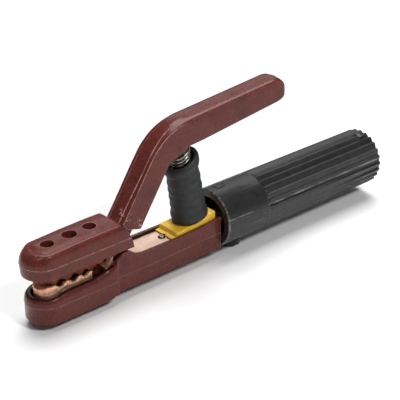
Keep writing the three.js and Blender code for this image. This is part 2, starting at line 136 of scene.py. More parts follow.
class Paint:
    """A principled material and short ways to wire procedural textures into it."""

    def __init__(self, name):
        self.material = bpy.data.materials.new(name)
        self.material.use_nodes = True
        self.tree = self.material.node_tree
        self.shader = self.tree.nodes["Principled BSDF"]
        self.coords = self.node("TexCoord").outputs["Object"]

    def set(self, **values):
        for key, value in values.items():
            self.shader.inputs[key.replace("_", " ")].default_value = value
        return self

    def node(self, kind, **values):
        node = self.tree.nodes.new("ShaderNode" + kind)
        for key, value in values.items():
            node.inputs[key].default_value = value
        return node

    def link(self, source, target):
        self.tree.links.new(source, target)

    def feed(self, socket, value):
        """Sets a socket to a number or a colour, or links it to another node's output."""
        if isinstance(value, bpy.types.NodeSocket):
            self.link(value, socket)
        else:
            socket.default_value = (*value, 1) if isinstance(value, tuple) else value

    def stretched(self, scale):
        mapping = self.node("Mapping", Scale=scale)
        self.link(self.coords, mapping.inputs["Vector"])
        return mapping.outputs["Vector"]

    def noise(self, per_metre, detail=3.0, roughness=0.55, vector=None):
        node = self.node("TexNoise", Scale=per_metre, Detail=detail, Roughness=roughness)
        self.link(vector or self.coords, node.inputs["Vector"])
        return node.outputs["Fac"]

    def ramp(self, factor, *stops):
        node = self.node("ValToRGB")
        elements = node.color_ramp.elements
        while len(elements) < len(stops):
            elements.new(0.5)
        for element, (position, colour) in zip(elements, stops):
            element.position = position
            element.color = (*colour, 1)
        self.link(factor, node.inputs["Fac"])
        return node.outputs["Color"]

    def tones(self, factor, dark, light, low=0.3, high=0.7):
        return self.ramp(factor, (low, dark), (high, light))

    def grey(self, factor, low, high, dark, light):
        return self.tones(factor, (dark,) * 3, (light,) * 3, low, high)

    def mix(self, factor, first, second, mode="MIX"):
        node = self.node("Mix")
        node.data_type = "RGBA"
        node.blend_type = mode
        for index, value in ((0, factor), (6, first), (7, second)):
            self.feed(node.inputs[index], value)
        return node.outputs[2]

    def math(self, operation, first, second):
        node = self.node("Math")
        node.operation = operation
        self.feed(node.inputs[0], first)
        self.feed(node.inputs[1], second)
        return node.outputs[0]

    def worn_edges(self, width_mm, low=0.02, high=0.2):
        """1 along edges and creases, to about a width from them, and 0 on open faces."""
        bevel = self.node("Bevel", Radius=width_mm * MM)
        bevel.samples = 8
        geometry = self.node("NewGeometry")
        dot = self.node("VectorMath")
        dot.operation = "DOT_PRODUCT"
        self.link(bevel.outputs["Normal"], dot.inputs[0])
        self.link(geometry.outputs["Normal"], dot.inputs[1])
        turned_away = self.math("SUBTRACT", 1.0, dot.outputs["Value"])
        return self.grey(turned_away, low, high, 0.0, 1.0)

    def near(self, point, inner_mm, outer_mm, far=0.0, axes=(1, 1, 1), spread=10):
        """1 around a point in drawing millimetres, falling to far beyond the outer distance.
        Only the axes that are 1 count, so it can be a band or a line too.  The distance is spread
        over the colour ramp, which has only 256 steps."""
        node = self.node("VectorMath")
        node.operation = "DISTANCE"
        target = ORIGIN + Vector(point) * MM
        node.inputs[1].default_value = [part * axis for part, axis in zip(target, axes)]
        self.link(self.stretched(axes), node.inputs[0])
        share = self.math("MULTIPLY", node.outputs["Value"], spread)
        inner, outer = inner_mm * MM * spread, outer_mm * MM * spread
        return self.grey(share, inner, outer, 1.0, far)

    def colour(self, source):
        self.link(source, self.shader.inputs["Base Color"])

    def roughness(self, source, low, high, ends=(0.3, 0.7)):
        """Roughness from low to high, as the source goes from one end to the other."""
        self.link(self.grey(source, *ends, low, high), self.shader.inputs["Roughness"])

    def bump(self, height, distance_mm, strength):
        node = self.node("Bump", Strength=strength, Distance=distance_mm * MM)
        self.link(height, node.inputs["Height"])
        normal = self.shader.inputs["Normal"]
        if normal.is_linked:
            self.link(normal.links[0].from_socket, node.inputs["Normal"])
        self.link(node.outputs["Normal"], normal)


LEVER_BEND = (-50, -7, 45)
LEVER_FRONT_SCUFF = (-68.6, -4, 25.5)
LEVER_REAR_SCUFF = (-59.4, -7, 19.5)
RUBBED_LINE = (0, -16.5, 4.1)


def brown_phenolic(name="brown_phenolic", shade=1.0):
    """Compression-moulded phenolic: red-brown, finely mottled and glossy, with pale rubbed edges
    and scuffs, most of all where the lever meets the upper cover."""
    paint = Paint(name)

    # shade scales every colour down; below 1 it makes a darker copy that is painted shade.
    def tone(*colour):
        return tuple(part * shade for part in colour)

    mottle = paint.ramp(
        paint.noise(95, 5, 0.62), (0.30, tone(0.078, 0.020, 0.0165)),
        (0.50, tone(0.124, 0.026, 0.0205)), (0.72, tone(0.108, 0.030, 0.0245)),
    )
    grain = paint.tones(
        paint.noise(1100, 3, 0.6), (0.72, 0.70, 0.70), (1.22, 1.20, 1.18), 0.36, 0.64,
    )
    body = paint.mix(1.0, mottle, grain, "MULTIPLY")
    handled = paint.near(LEVER_BEND, 32, 46, far=0.62)
    patchy = paint.grey(paint.noise(330, 5, 0.7), 0.40, 0.56, 0.30, 1.0)
    edges = paint.math("MULTIPLY", paint.worn_edges(0.6, 0.006, 0.06),
                       paint.math("MULTIPLY", handled, patchy))
    scratches = paint.grey(
        paint.noise(1.0, 4, 0.72, paint.stretched((330, 300, 620))), 0.545, 0.62, 0.0, 1.0,
    )
    scuffed = paint.math(
        "MAXIMUM", paint.near(LEVER_FRONT_SCUFF, 1.5, 6), paint.near(LEVER_REAR_SCUFF, 1.5, 5),
    )
    rubbed = paint.math("MAXIMUM", edges, paint.math("MULTIPLY", scratches, scuffed))
    paint.colour(paint.mix(rubbed, body, tone(0.56, 0.33, 0.29)))
    paint.roughness(paint.noise(260, 4, 0.6), 0.17, 0.32, ends=(0.3, 0.72))
    paint.bump(paint.noise(420, 3), 0.04, 0.45)
    paint.bump(paint.noise(1800, 3), 0.03, 0.55)
    return paint.set(Specular_IOR_Level=0.22).material


def black_grip():
    """Moulded black plastic: semi-gloss, with pale rubbed streaks and edges along the handle."""
    paint = Paint("black_grip")
    base = paint.tones(paint.noise(240, 4, 0.6), (0.013, 0.013, 0.014), (0.024, 0.024, 0.025))
    streaks = paint.grey(
        paint.noise(1.0, 5, 0.7, paint.stretched((40, 900, 900))), 0.60, 0.72, 0.0, 1.0,
    )
    patches = paint.grey(paint.noise(30, 2), 0.50, 0.64, 0.0, 0.7)
    edges = paint.math(
        "MULTIPLY", paint.worn_edges(0.4, 0.02, 0.14),
        paint.grey(paint.noise(160, 5, 0.7), 0.42, 0.60, 0.22, 0.9),
    )
    rubbed = paint.math("MAXIMUM", paint.math("MULTIPLY", streaks, patches), edges)
    broken = paint.noise(1.0, 4, 0.7, paint.stretched((90, 500, 500)))
    line = paint.near(RUBBED_LINE, 0.32, 0.8, axes=(0, 1, 1), spread=100)
    rim = paint.near((GRIP_FRONT_X + 0.6, 0, 0), 0.24, 0.6, axes=(1, 0, 0), spread=100)
    line_wear = paint.math("MULTIPLY", line, paint.grey(broken, 0.47, 0.58, 0.0, 1.0))
    rim_wear = paint.math("MULTIPLY", rim, paint.grey(broken, 0.42, 0.60, 0.1, 0.9))
    rubbed = paint.math("MAXIMUM", rubbed, paint.math("MAXIMUM", line_wear, rim_wear))
    paint.colour(paint.mix(rubbed, base, (0.20, 0.20, 0.20)))
    paint.roughness(paint.noise(320, 4), 0.30, 0.46)
    paint.bump(paint.noise(2200, 3), 0.02, 0.6)
    return paint.set(Specular_IOR_Level=0.36).material


def black_rubber():
    """Rubber sleeve: matt, faintly dusty, with a soft grain."""
    paint = Paint("black_rubber")
    paint.colour(paint.tones(paint.noise(180, 4), (0.009, 0.010, 0.011), (0.019, 0.020, 0.021)))
    paint.roughness(paint.noise(500, 3), 0.55, 0.72)
    paint.bump(paint.noise(1800, 3), 0.03, 0.7)
    return paint.set(IOR=1.5).material


def yellow_plate():
    """Coated plate: golden yellow, satin and slightly uneven, paler along its edges."""
    paint = Paint("yellow_plate")
    base = paint.tones(paint.noise(120, 4, 0.6), (0.78, 0.42, 0.020), (0.93, 0.60, 0.050))
    paint.colour(paint.mix(paint.worn_edges(0.4), base, (0.98, 0.86, 0.40)))
    paint.roughness(paint.noise(400, 3), 0.32, 0.46)
    paint.bump(paint.noise(900, 3), 0.02, 0.6)
    return paint.set(IOR=1.5).material


def cast_copper(name, dark, light, rough_low, rough_high, grain_mm):
    """Copper alloy as cast: warm, with small darker pits and a satin sheen."""
    paint = Paint(name)
    base = paint.tones(paint.noise(220, 5, 0.62), dark, light, 0.32, 0.66)
    pits = paint.grey(paint.noise(1500, 3), 0.32, 0.42, 0.55, 1.0)
    paint.colour(paint.mix(1.0, base, pits, "MULTIPLY"))
    paint.roughness(paint.noise(650, 4), rough_low, rough_high)
    paint.bump(paint.noise(700, 4, 0.62), grain_mm, 0.8)
    paint.bump(paint.noise(1700, 4, 0.7), grain_mm, 0.7)
    return paint.set(Metallic=0.8).material


def bar_copper():
    """The conductor's milled top: pale copper with fine lengthwise tool marks."""
    paint = Paint("bar_copper")
    base = paint.tones(paint.noise(140, 4, 0.6), (0.70, 0.465, 0.355), (0.77, 0.58, 0.47))
    marks = paint.noise(1.0, 3, 0.6, paint.stretched((160, 1900, 1900)))
    paint.colour(paint.mix(1.0, base, paint.grey(marks, 0.3, 0.7, 0.72, 1.06), "MULTIPLY"))
    paint.roughness(marks, 0.36, 0.52)
    paint.bump(marks, 0.02, 0.5)
    return paint.set(Metallic=0.75).material


def turned_metal(name, dark, light, rough_low=0.22, rough_high=0.38):
    """Machined metal with fine marks and slight tarnish."""
    paint = Paint(name)
    paint.colour(paint.tones(paint.noise(300, 4, 0.6), dark, light))
    marks = paint.noise(2200, 3, 0.6)
    paint.roughness(marks, rough_low, rough_high)
    paint.bump(marks, 0.01, 0.5)
    return paint.set(Metallic=1.0).material


def studio_floor():
    """Plain pale floor."""
    paint = Paint("studio_floor")
    paint.colour(paint.grey(paint.noise(3, 2), 0.3, 0.7, 0.90, 0.92))
    return paint.set(Roughness=0.9, Specular_IOR_Level=0.1).material


PHENOLIC = brown_phenolic()
# A copy at 0.28 shade: painted shade for the cover's inner walls and the rim's top round the jaws.
PHENOLIC_PAINTED_SHADE = brown_phenolic("brown_phenolic_painted_shade", 0.28)
GRIP_BLACK = black_grip()
RUBBER = black_rubber()
YELLOW = yellow_plate()
JAW_COPPER = cast_copper(
    "jaw_copper", (0.90, 0.44, 0.27), (1.0, 0.63, 0.44), 0.42, 0.62, grain_mm=0.16)
# Very dark copper: tarnish, darkened further as painted shade for the upper jaw under its cover and
# the gaps round the lower teeth.
COPPER_TARNISH_AND_SHADE = cast_copper(
    "copper_tarnish_and_painted_shade", (0.020, 0.007, 0.005), (0.26, 0.055, 0.018), 0.30, 0.50, grain_mm=0.12)
BAR_COPPER = bar_copper()
BRASS = turned_metal("brass", (0.50, 0.33, 0.12), (0.72, 0.50, 0.20))
STEEL = turned_metal("plated_steel", (0.36, 0.36, 0.35), (0.58, 0.58, 0.57))
SPRING_STEEL = turned_metal("spring_steel", (0.20, 0.185, 0.17), (0.44, 0.42, 0.39), 0.24, 0.40)
DARK_STEEL = turned_metal("blackened_steel", (0.10, 0.085, 0.07), (0.30, 0.25, 0.20), 0.3, 0.5)

# ------------------------ mesh tools


def new_object(name, verts, faces):
    """A mesh object from points in drawing millimetres, cleaned and with its faces pointing out."""
    mesh = bpy.data.meshes.new(name)
    mesh.from_pydata([tuple(ORIGIN + Vector(v) * MM) for v in verts], [], faces)
    obj = placed(name, mesh)
    tidy_mesh(obj)
    return obj


def tidy_mesh(obj):
    bm = bmesh.new()
    bm.from_mesh(obj.data)
    bmesh.ops.remove_doubles(bm, verts=bm.verts, dist=0.004 * MM)
    bmesh.ops.dissolve_degenerate(bm, edges=bm.edges, dist=0.002 * MM)
    bmesh.ops.recalc_face_normals(bm, faces=bm.faces)
    bm.to_mesh(obj.data)
    bm.free()


def modify(obj, kind, **settings):
    """Adds a modifier and applies it."""
    modifier = obj.modifiers.new(kind, kind)
    for key, value in settings.items():
        setattr(modifier, key, value)
    graph = bpy.context.evaluated_depsgraph_get()
    mesh = bpy.data.meshes.new_from_object(obj.evaluated_get(graph))
    obj.modifiers.clear()
    old = obj.data
    obj.data = mesh
    bpy.data.meshes.remove(old)


def combine(obj, others, operation):
    """Cuts the others out of obj, or joins them to it, and removes them."""
    for other in others:
        modify(obj, "BOOLEAN", object=other, operation=operation, solver="MANIFOLD")
        bpy.data.objects.remove(other)
    tidy_mesh(obj)
    return obj


def cut(obj, *others):
    return combine(obj, others, "DIFFERENCE")


def fuse(obj, *others):
    return combine(obj, others, "UNION")


def soften(obj, width_mm, segments=3, angle=30):
    """Rounds the edges sharper than the angle."""
    modify(obj, "BEVEL", width=width_mm * MM, segments=segments, limit_method="ANGLE",
           angle_limit=math.radians(angle), use_clamp_overlap=True)
    return obj


def show(obj, material, body, node, crease=32):
    """Shades a finished piece that stands for a node, gives it its material, and lets it ride on
    its body."""
    obj.data.shade_smooth()
    obj.data.set_sharp_from_angle(angle=math.radians(crease))
    obj.data.materials.clear()
    obj.data.materials.append(material)
    if body:
        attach(obj, body)
    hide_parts(node)


def grid_faces(rows, columns, wrap_rows=False, wrap_columns=False):
    """Quads of a grid of points numbered row by row."""
    faces = []
    for i in range(rows if wrap_rows else rows - 1):
        for j in range(columns if wrap_columns else columns - 1):
            a = i * columns + j
            b = i * columns + (j + 1) % columns
            c = ((i + 1) % rows) * columns + (j + 1) % columns
            d = ((i + 1) % rows) * columns + j
            faces.append((a, b, c, d))
    return faces


def mirrored(name, rows, capped=()):
    """A closed body from its near half.  Each row of points starts and ends on the middle plane.
    capped lists the rows that close an open end with a flat face."""
    count = len(rows[0])
    near = [tuple(p) for row in rows for p in row]
    far = [(x, -y, z) for x, y, z in near]
    faces = grid_faces(len(rows), count)
    faces += [tuple(len(near) + i for i in reversed(face)) for face in faces]
    for row in capped:
        start = (row % len(rows)) * count
        near_edge = list(range(start, start + count))
        far_edge = [len(near) + i for i in near_edge[-2:0:-1]]
        faces.append(tuple(near_edge + far_edge))
    return new_object(name, near + far, faces)


def lofted(name, rings, closed=False):
    """A body from closed rings of equal length, with flat ends or joined end to start."""
    count = len(rings[0])
    faces = grid_faces(len(rings), count, wrap_rows=closed, wrap_columns=True)
    if not closed:
        faces.append(tuple(reversed(range(count))))
        faces.append(tuple(range((len(rings) - 1) * count, len(rings) * count)))
    return new_object(name, [tuple(p) for ring in rings for p in ring], faces)


def turned(name, profile, place, sides=64):
    """A profile of (radius, height) turned about an axis.  place carries a point beside the axis,
    (across, across, height), to the drawing."""
    verts = []
    for radius, height in profile:
        for k in range(sides):
            angle = 2 * math.pi * k / sides
            verts.append(place(radius * math.cos(angle), radius * math.sin(angle), height))
    faces = grid_faces(len(profile), sides, wrap_columns=True)
    return new_object(name, verts, faces)


def upright(x, z=0.0, up=1):
    """Heights measured up from z, or down from it."""
    return lambda a, b, h: (x + a, b, z + up * h)


def along_x(a, b, h):
    return (h, a, b)


def slab(name, outline, near, far):
    """A side outline of (x, z) points, given a thickness from near to far in y."""
    return lofted(name, [[(x, y, z) for x, z in outline] for y in (near, far)])


def block(name, x0, x1, y0, y1, z0, z1):
    return slab(name, [(x0, z0), (x1, z0), (x1, z1), (x0, z1)], y0, y1)


def line(a, b, count):
    """count points from a up to, but not including, b."""
    return [tuple(np.array(a) + (np.array(b) - np.array(a)) * i / count) for i in range(count)]


def curve(a, control, b, count):
    """count points of a quadratic curve from a up to, but not including, b."""
    points = []
    for i in range(count):
        t = i / count
        p = (1 - t) ** 2 * np.array(a) + 2 * t * (1 - t) * np.array(control) + t * t * np.array(b)
        points.append(tuple(p))
    return points


def trace(start, *steps):
    """Points along lines, (end, count), and curves, (control, end, count), with the last end."""
    points = []
    for *control, end, count in steps:
        points += curve(start, *control, end, count) if control else line(start, end, count)
        start = end
    return points + [start]


def arc(centre, radius, start, end, count):
    """count + 1 points of an arc, in degrees."""
    angles = np.radians(np.linspace(start, end, count + 1))
    return [(centre[0] + radius * math.cos(a), centre[1] + radius * math.sin(a)) for a in angles]


def smoothstep(low, high, value):
    t = min(1.0, max(0.0, (value - low) / (high - low)))
    return t * t * (3 - 2 * t)


def rounding(radius, depth):
    """How far a rounded edge lies in from its side, at a depth in from the end face."""
    left = max(0.0, radius - depth)
    return radius - math.sqrt(max(0.0, radius ** 2 - left ** 2))


def along(points, value):
    """Height at a value of x, on straight lines between listed (x, z) points."""
    return float(np.interp(value, *zip(*points)))


# ------------------------ lower body cover

HEAD_HALF = 12.0
HEAD_CENTRE_X = -118.1
POCKET_HALF = 8.5
CHANNEL_HALF = 8.1
WALL_HALF = 10.1
BODY_REAR_X = -4.0
HEAD_REAR_X = -78.5
HEAD_SLOPE_X = -86.0
CHANNEL_FRONT_X = -81.0
HUMP_X = (-84, -60)
FLOOR_Z = -11.5
BODY_BOTTOM_Z = -15.8
HEAD_BOTTOM_Z = -17.9
BODY_PARTING_Z = -6.7
HEAD_PARTING_Z = -7.5
PARTING_RIDGE = 0.3
RIM_ROUNDING = 0.3


def rim_height(x):
    """Top of the cover's walls: low round the jaw's nose, higher beside the jaw, a hump over the
    hinge, then the channel."""
    points = [(-123.0, -3.0), (-120.0, -2.7), (-116.0, -1.9), (-111.0, -1.1), (-94.0, -0.8),
              (-88.0, 0.1), (-84.0, 1.1), (-82.0, 1.9), (-80.4, 2.8), (-79.0, 3.8),
              (-77.5, 4.9), (-75.8, 6.1), (-74.0, 7.1), (-72.0, 7.5),
              (-70.0, 7.2), (-68.3, 6.2), (-66.6, 4.9), (-65.0, 3.8), (-63.0, 2.9),
              (-60.0, 2.5), (-34.0, 2.4), (-20.0, 2.9), (-12.0, 3.5), (-4.0, 4.3)]
    return along([(px + HINGE.x + 72.0, pz + HINGE.z - 2.2) for px, pz in points], x)


def lower_cover_station(x_outer, y_outer, x_inner, y_inner):
    """A row of points from the underside's middle, round the wall, to the floor's middle."""
    in_head = 1 - smoothstep(HEAD_REAR_X - 1.0, HEAD_REAR_X + 0.8, x_outer)
    slope = 1 - smoothstep(HEAD_SLOPE_X, HEAD_REAR_X, x_outer)
    deep = 1 - smoothstep(-84.5, HEAD_REAR_X + 0.6, x_outer)
    bottom = BODY_BOTTOM_Z + (HEAD_BOTTOM_Z - BODY_BOTTOM_Z) * deep
    top = rim_height(x_inner)
    body_parting = BODY_PARTING_Z + 1.2 * smoothstep(HUMP_X[1], BODY_REAR_X, x_outer)
    parting = HEAD_PARTING_Z * in_head + body_parting * (1 - in_head)
    under_r = 1.4 * in_head + 0.8 * (1 - in_head)
    raised = max(0.0, top + 3.0) * slope
    shoulder_in = 0.35 + 1.55 * slope + min(0.85, 0.4 * raised)
    shoulder_down = 0.4 + 3.4 * slope + raised
    length = math.hypot(x_inner - x_outer, y_inner - y_outer)
    inward = ((x_inner - x_outer) / length, (y_inner - y_outer) / length)

    def at(depth, z):
        return (x_outer + inward[0] * depth, y_outer + inward[1] * depth, z)

    row = []
    under = [at(under_r + 1.2, bottom), at(under_r + 0.4, bottom)]
    row += [(under[0][0], 0.0, bottom), (under[0][0], under[0][1] / 2, bottom), *under]
    for angle in np.linspace(0, math.pi / 2, 6):
        row.append(at(under_r * (1 - math.sin(angle)), bottom + under_r * (1 - math.cos(angle))))
    row += [at(0, bottom + under_r + 0.4), at(0, parting - PARTING_RIDGE)]
    row += [at(-0.16, parting), at(0, parting + PARTING_RIDGE)]
    wall_top = top - shoulder_down - 0.3
    row.append(at(0, min(wall_top, -0.5) if slope < 0.5 else wall_top))
    for angle in np.linspace(0, math.pi / 2, 8):
        row.append(at(shoulder_in * (1 - math.cos(angle)),
                      top - shoulder_down * (1 - math.sin(angle))))
    row += [at(max(shoulder_in + 0.1, length - 0.7), top), at(length - RIM_ROUNDING, top)]
    for angle in (math.pi / 4, math.pi / 2):
        row.append(at(length - RIM_ROUNDING * (1 - math.sin(angle)),
                      top - RIM_ROUNDING * (1 - math.cos(angle))))
    row += [at(length, top - 0.7), at(length, FLOOR_Z + 0.9), at(length, FLOOR_Z + 0.5)]
    row += [at(length + 0.5, FLOOR_Z), at(length + 0.9, FLOOR_Z)]
    row.append((row[-1][0], 0.0, FLOOR_Z))
    return row


def lower_body_cover():
    xs = list(np.linspace(BODY_REAR_X, HUMP_X[1], 29)) + list(np.linspace(*HUMP_X[::-1], 61)[1:])
    xs += list(np.linspace(HUMP_X[0], HEAD_CENTRE_X, 24)[1:])
    rows = []
    for x in xs:
        wide = 1 - smoothstep(HEAD_REAR_X - 0.9, HEAD_REAR_X + 0.5, x)
        outer = WALL_HALF + (HEAD_HALF - WALL_HALF) * wide
        pocket = 1 - smoothstep(HEAD_SLOPE_X, -80.0, x)
        inner = CHANNEL_HALF + (POCKET_HALF - CHANNEL_HALF) * pocket
        rows.append(lower_cover_station(x, -outer, x, -inner))
    for angle in np.radians(np.linspace(270, 180, 25)[1:]):
        c, s = math.cos(angle), math.sin(angle)
        rows.append(lower_cover_station(
            HEAD_CENTRE_X + HEAD_HALF * c, HEAD_HALF * s,
            HEAD_CENTRE_X + POCKET_HALF * c, POCKET_HALF * s,
        ))
    cover = mirrored("lower_cover_moulding", rows, capped=(0,))
    holes = []
    for node, bottom in (("lower_cover_screw_front", HEAD_BOTTOM_Z),
                         ("lower_cover_screw_rear", BODY_BOTTOM_Z)):
        profile = [(0, bottom - 1), (4.4, bottom - 1), (4.2, bottom), (3.9, bottom + 0.3)]
        profile += [(3.9, bottom + 2), (2.3, bottom + 2), (2.3, FLOOR_Z + 1), (0, FLOOR_Z + 1)]
        holes.append(turned("hole", profile, upright(middle_x(node)), 40))
    cut(cover, *holes)
    show(cover, PHENOLIC, BODY, "lower_body_cover")
    cover.data.materials.append(PHENOLIC_PAINTED_SHADE)
    # Painted shade: the faces inside the walls and the rim's top round the jaws take the darker
    # copy of the phenolic.
    for face in cover.data.polygons:
        x, y, z = (face.center - ORIGIN) / MM
        from_middle = math.hypot(min(0.0, x - HEAD_CENTRE_X), y)
        shaded_inner_wall = from_middle < POCKET_HALF + 0.06 and z > FLOOR_Z - 0.1
        shaded_rim_top = x < CHANNEL_FRONT_X and face.normal.z > 0.7
        if shaded_inner_wall or shaded_rim_top:
            face.material_index = 1


lower_body_cover()

# ------------------------ handle

GRIP_BORE_R = 12.9
COLLAR_REAR_X = 27.8
RIB_PITCH = 15.0
RIB_DEPTH = 1.3
RIB_FLANK = 0.68
RIB_FOOT = 0.74
FIRST_RIB = 12.0
PANEL = (172.0, 237.0)
PANEL_DROP = 0.34


def rib_drop(degrees):
    """How far the ribbed surface lies below the collar's radius at an angle round the axis."""
    share = ((degrees - FIRST_RIB) % RIB_PITCH) / RIB_PITCH
    if share < RIB_FLANK:
        drop = share / RIB_FLANK
    elif share < RIB_FOOT:
        drop = 1.0
    else:
        drop = (1 - share) / (1 - RIB_FOOT)
    crest = min(share, 1 - share)
    return RIB_DEPTH * drop + 0.10 * max(0.0, 1 - crest / 0.05)


def on_panel(degrees):
    """Whether an angle is on one of the two plain panels along the handle's lower sides."""
    return any(PANEL[0] <= side % 360 <= PANEL[1] for side in (degrees, 180 - degrees))


def grip_radius(x, degrees):
    start = min(1.0, max(0.0, (x - COLLAR_REAR_X) / 2.6))
    scoop = math.sqrt(max(0.0, 1 - (1 - start) ** 2))
    drop = rib_drop(degrees)
    if on_panel(degrees):
        drop = PANEL_DROP + (drop - PANEL_DROP) * (0.12 + 0.7 * smoothstep(60, 122, x))
    collar_line = 0.22 if on_panel(degrees) and x < COLLAR_REAR_X else 0.0
    front = max(0.0, 0.8 - (x - GRIP_FRONT_X))
    rear = max(0.0, 0.5 - (GRIP_REAR_X - x))
    return GRIP_R - drop * scoop - collar_line * (1 - start) - 0.9 * front - rear


def handle_grip():
    angles = []
    for rib in range(round(360 / RIB_PITCH)):
        tip = FIRST_RIB + rib * RIB_PITCH
        angles += [tip + RIB_PITCH * share for share in
                   (0, 0.03, 0.10, 0.25, 0.42, 0.58, 0.66, 0.70, 0.755, 0.84, 0.93, 0.975)]
    for edge in (PANEL[0], PANEL[1], 180 - PANEL[0], 180 - PANEL[1]):
        angles += [edge - 0.25, edge + 0.25]
    angles = sorted({round(a % 360, 3) for a in angles})
    xs = [GRIP_FRONT_X, GRIP_FRONT_X + 0.25, GRIP_FRONT_X + 0.8, GRIP_FRONT_X + 1.6]
    xs += list(np.linspace(3, COLLAR_REAR_X - 0.4, 6))
    xs += [COLLAR_REAR_X + d for d in (0, 0.12, 0.3, 0.6, 1.0, 1.5, 2.1, 2.7)]
    xs += list(np.linspace(34, GRIP_REAR_X - 1.5, 14)) + [GRIP_REAR_X - 0.5, GRIP_REAR_X]

    def ring(x, radii):
        return [(x, r * math.cos(math.radians(a)), r * math.sin(math.radians(a)))
                for a, r in zip(angles, radii)]

    rings = [ring(x, [grip_radius(x, a) for a in angles]) for x in xs]
    bore = [(GRIP_REAR_X, 14.6), (GRIP_REAR_X, 13.5), (GRIP_REAR_X - 0.6, GRIP_BORE_R),
            (80, GRIP_BORE_R), (30, GRIP_BORE_R), (GRIP_FRONT_X + 0.5, GRIP_BORE_R),
            (GRIP_FRONT_X + 0.12, GRIP_BORE_R + 0.15), (GRIP_FRONT_X, GRIP_BORE_R + 0.5),
            (GRIP_FRONT_X, 15.4)]
    rings += [ring(x, [r] * len(angles)) for x, r in bore]
    grip = lofted("grip_moulding", rings, closed=True)

    flat = [(0, -19), (6.9, -19), (6.5, -GRIP_R + 0.6), (3.1, -GRIP_R + 0.6), (3.1, -8), (0, -8)]
    cut(grip, turned("hole", flat, upright(middle_x("grip_screw")), 48))
    fuse(grip, moulding_mark("collar_mark", (1.8, 7.4), 86, 2.3, 0.45),
         moulding_mark("ejector_mark", (115.4, 120.4), 101, 2.4, 0.10))
    show(grip, GRIP_BLACK, BODY, "handle_grip", crease=26)


def moulding_mark(name, x_range, degrees, half_width, proud):
    """A small raised pad on the handle's surface, at an angle round the axis."""
    pad = block(name, *x_range, -half_width, half_width, GRIP_R - 2.4, GRIP_R + proud)
    soften(pad, 0.3, 2)
    turn = math.radians(degrees - 90)
    for vertex in pad.data.vertices:
        x, y, z = vertex.co - ORIGIN
        vertex.co = ORIGIN + Vector((x, y * math.cos(turn) - z * math.sin(turn),
                                     y * math.sin(turn) + z * math.cos(turn)))
    return pad


def grip_screw():
    low, high = box_mm("grip_screw")
    x = middle_x("grip_screw")
    head_r = (high.y - low.y) / 2
    top = -GRIP_R + 0.3
    profile = [(0, low.z + 0.6), (2.2, low.z + 0.6), (2.6, low.z + 0.2), (3.1, low.z)]
    profile += [(head_r - 0.9, low.z), (head_r - 0.35, low.z + 0.2), (head_r, low.z + 0.8)]
    profile += [(head_r, top - 0.5), (head_r - 0.4, top), (2.5, top), (2.5, -2.6)]
    profile += [(1.9, -2), (0, -2)]
    screw = turned("grip_screw_turned", profile, upright(x), 72)
    cut(screw, block("slot", x - 0.75, x + 0.75, -head_r - 1, head_r + 1, low.z - 1, low.z + 1.5))
    show(screw, GRIP_BLACK, BODY, "grip_screw")


handle_grip()
grip_screw()

# ------------------------ lever cover

LEVER_HALF = 7.1
LEVER_TIP_X = 49.7
LEVER_TIP_ROUNDING = 3.6
ARM_HALF = 4.3
GAP = 0.3
CUP_R = 5.9
CUP_SEAT = (-26.8, 52.7)
CUP_LEAN = math.radians(-20)


def under_lever(a, b, depth):
    """A point beside the axis of the spring's cup, a depth below the cup's back."""
    return (CUP_SEAT[0] + a * math.cos(CUP_LEAN) - depth * math.sin(CUP_LEAN), b,
            CUP_SEAT[1] - a * math.sin(CUP_LEAN) - depth * math.cos(CUP_LEAN))


def lever_front_edge():
    """The outer edge, from the lower end, over the bend, to the tip."""
    return trace(
        (-68.0, 17.9), ((-70.9, 20.7), 4), ((-72.2, 22.5), 3),
        ((-72.3, 22.9), (-71.8, 23.3), 3), ((-51.5, 52.8), 17),
        ((-48.5, 57.5), (-45.1, 60.5), 8), ((-37.3, 68.6), (-24.5, 70.3), 14),
        ((40.5, 75.7), 23), ((47.9, 76.2), (LEVER_TIP_X, 67.8), 8),
    )


def lever_rear_edge():
    """The inner edge over the same way, in as many points as the front edge has."""
    return trace(
        (-60.6, 15.8), ((-59.2, 15.3), (-58.5, 16.0), 10), ((-42.6, 40.6), 17),
        ((-37.9, 48.4), (-34.4, 49.2), 8), ((-26.7, 51.3), 6),
        ((-25.3, 51.8), (-25.0, 53.8), 4), ((-13.0, 54.8), 5), ((41.0, 61.3), 22),
        ((48.6, 62.2), (LEVER_TIP_X, 66.4), 8),
    )


def lever_section(front, rear, half, chamfer, roundness, corner):
    """A closed ring round the lever between a front point and a rear point.  The chamfer is how
    far the front's edge reaches (to the side, down); it is flat at roundness 0 and round at 1."""
    front, rear = np.array(front), np.array(rear)
    depth = float(np.linalg.norm(front - rear))
    inward = (rear - front) / depth
    side, down = chamfer
    crown = 0.35 * roundness
    step = 0.24 * (1 - roundness)
    near = [(-crown, 0.0), (-0.75 * crown, (half - side) * 0.5), (0.0, half - side)]
    for k in range(1, 7):
        t = (k - 0.7) / 6.3
        flat = np.array((down * t, half - side * (1 - t)))
        angle = t * math.pi / 2
        arc_point = np.array((down * (1 - math.cos(angle)), half - side * (1 - math.sin(angle))))
        near.append(tuple(flat * (1 - roundness) + arc_point * roundness + (step * (1 - t), 0)))
    near.append((down, half))
    near += [(depth * 0.4, half), (depth * 0.7, half), (depth - corner, half)]
    for angle in np.radians((22, 45, 68)):
        near.append((depth - corner * (1 - math.sin(angle)),
                     half - corner * (1 - math.cos(angle))))
    near += [(depth, half - corner), (depth, (half - corner) * 0.5), (depth, 0.0)]
    ring = [(u, -v) for u, v in near] + [(u, v) for u, v in near[-2:0:-1]]
    return [(front[0] + inward[0] * u, v, front[1] + inward[1] * u) for u, v in ring]


